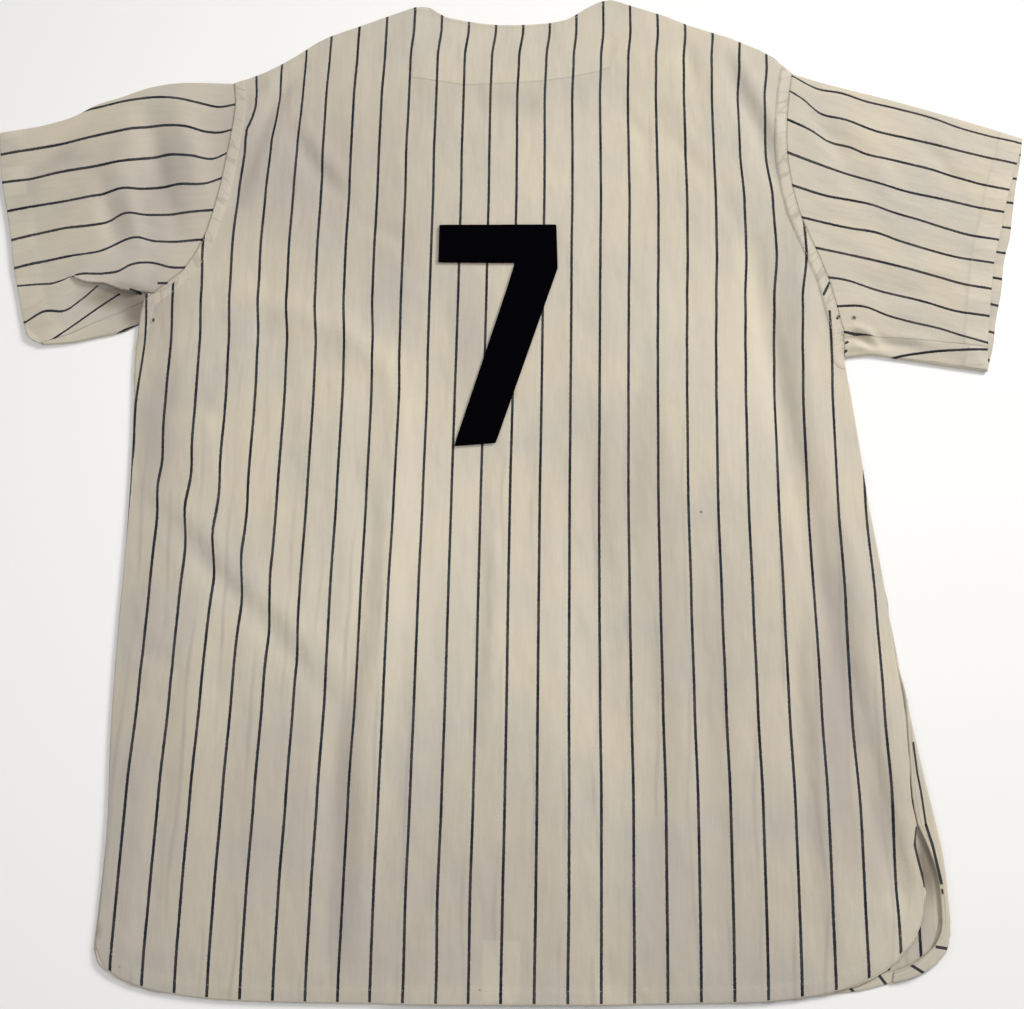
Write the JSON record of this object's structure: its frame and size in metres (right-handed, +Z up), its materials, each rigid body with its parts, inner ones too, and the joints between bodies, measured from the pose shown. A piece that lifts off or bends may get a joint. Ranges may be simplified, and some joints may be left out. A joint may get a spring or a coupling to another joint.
{
  "type": "baseball jersey",
  "caption": "Short-sleeved, collarless button-front baseball jersey in pinstriped wool flannel, laid flat with its back up and a plain felt numeral sewn on",
  "frame": {"origin": "on the surface it lies on, under the middle of the bounding box", "axes": "+X towards the wearer's right cuff, +Y towards the neckline, +Z up from the surface through the front and then the back"},
  "size_m": [0.9304, 0.8807, 0.0075],
  "materials": {
    "flannel": "cream wool flannel with dark navy pinstripes 25 mm apart, soft nap, matte",
    "felt": "black navy wool felt, matte",
    "button": "off-white four-hole buttons, soft gloss"
  },
  "bodies": {
    "root": {"back": "flannel", "front_left": "flannel", "front_right": "flannel", "turned_edge_right": "flannel", "sleeve_left": "flannel", "sleeve_right": "flannel", "neck_facing": "flannel", "number": "felt", "button_1": "button", "button_2": "button", "button_3": "button", "button_4": "button", "button_5": "button", "button_6": "button"}
  },
  "joints": []
}
